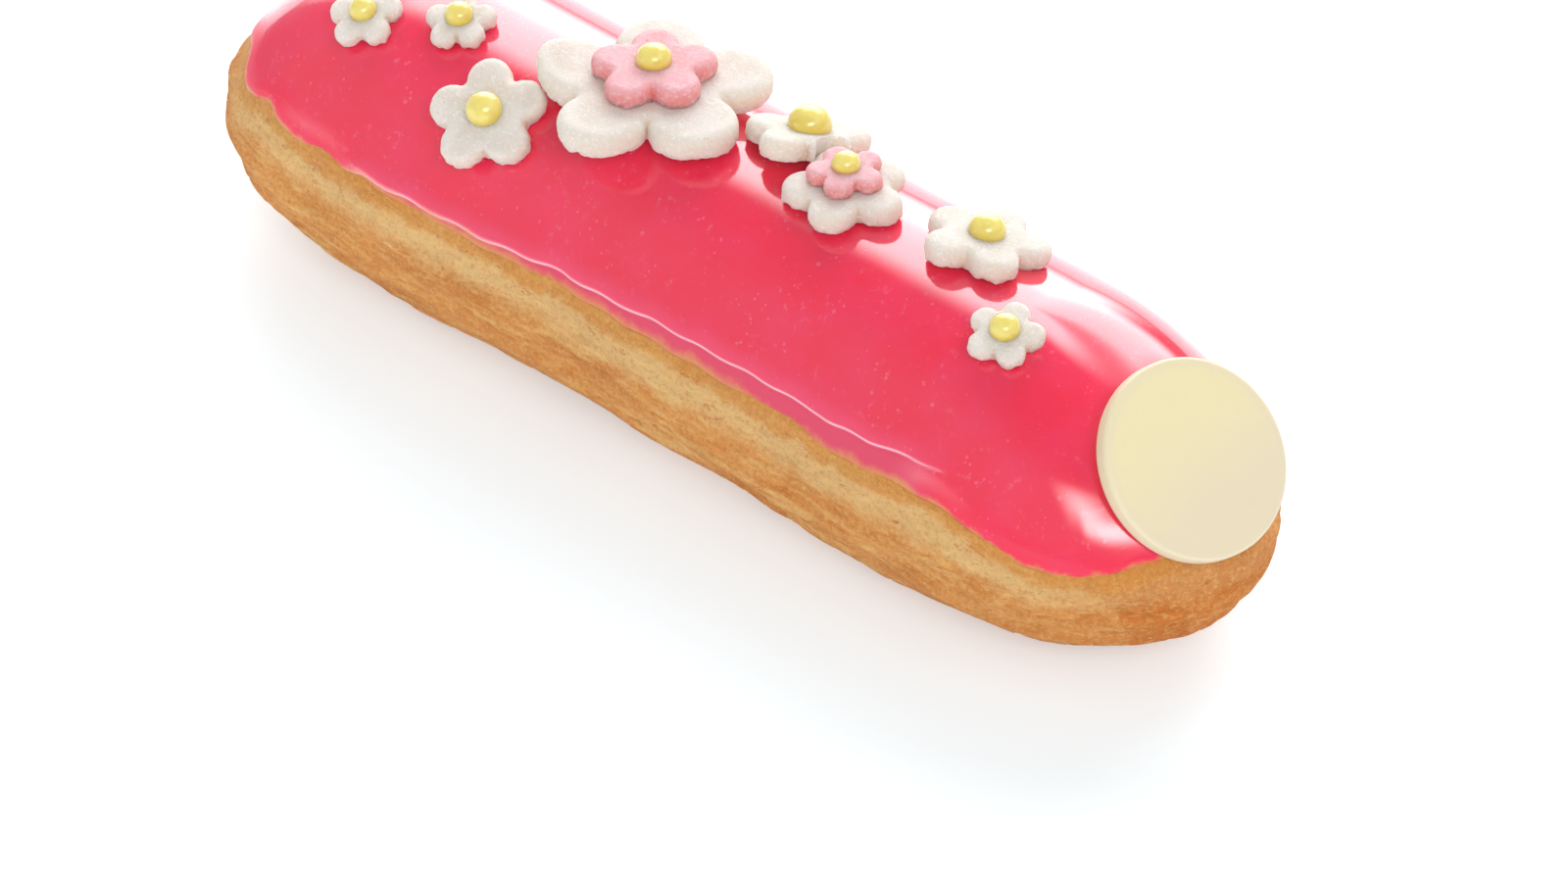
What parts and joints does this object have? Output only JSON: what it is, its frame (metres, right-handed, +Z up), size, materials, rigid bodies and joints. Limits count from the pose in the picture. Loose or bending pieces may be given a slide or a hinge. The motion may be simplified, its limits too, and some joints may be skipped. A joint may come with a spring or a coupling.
{
  "type": "glazed eclair",
  "caption": "Long baked choux eclair with a glossy pink glaze, cut sugar-paste flowers with yellow centres, and a thin round white plaque leaning on an end.",
  "frame": {"origin": "on the surface that the eclair rests on, under the middle of its flat underside", "axes": "+X along the eclair towards the plaque's end, +Z up, -Y the side shown in the picture"},
  "size_m": [0.1407, 0.0409, 0.0394],
  "materials": {
    "baked_crust": "baked choux crust, matt, golden brown with fine cracks",
    "pink_glaze": "poured sugar glaze, glossy and slightly translucent",
    "white_paste": "rolled sugar paste, matt and slightly grainy",
    "pink_paste": "rolled sugar paste, matt and slightly grainy",
    "yellow_glaze": "piped glaze dome, glossy",
    "white_chocolate": "moulded white chocolate, satin"
  },
  "bodies": {
    "root": {"choux_shell": "baked_crust", "pink_glaze": "pink_glaze", "white_flower_1": "white_paste", "white_flower_2": "white_paste", "white_flower_3": "white_paste", "white_flower_4": "white_paste", "white_flower_5": "white_paste", "white_flower_6": "white_paste", "white_flower_7": "white_paste", "white_flower_8": "white_paste", "pink_flower_4": "pink_paste", "pink_flower_6": "pink_paste", "yellow_centre_1": "yellow_glaze", "yellow_centre_2": "yellow_glaze", "yellow_centre_3": "yellow_glaze", "yellow_centre_4": "yellow_glaze", "yellow_centre_5": "yellow_glaze", "yellow_centre_6": "yellow_glaze", "yellow_centre_7": "yellow_glaze", "yellow_centre_8": "yellow_glaze", "white_plaque": "white_chocolate"}
  },
  "joints": []
}
